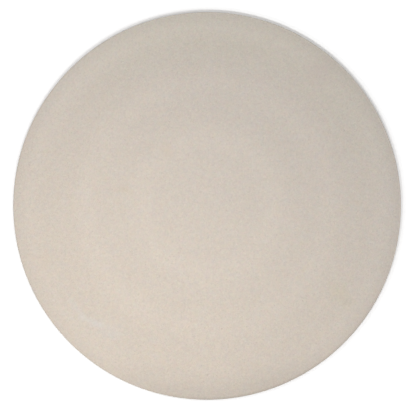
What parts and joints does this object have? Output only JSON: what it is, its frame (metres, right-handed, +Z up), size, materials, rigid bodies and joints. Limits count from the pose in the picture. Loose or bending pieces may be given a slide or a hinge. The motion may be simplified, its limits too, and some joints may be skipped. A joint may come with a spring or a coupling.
{
  "type": "pizza stone",
  "caption": "Round pizza stone: a flat cordierite disc with an eased rim and low arc-shaped feet underneath, which stores oven heat and bakes pizza or bread crisp from below.",
  "frame": {"origin": "on the stone's vertical axis, in the plane that the feet stand on", "axes": "+Z up through the baking face; +X and +Y each pass through an air gap between two feet"},
  "size_m": [0.3799, 0.38, 0.015],
  "materials": {
    "cordierite": "matte"
  },
  "bodies": {
    "root": {"baking_stone": "cordierite"}
  },
  "joints": []
}
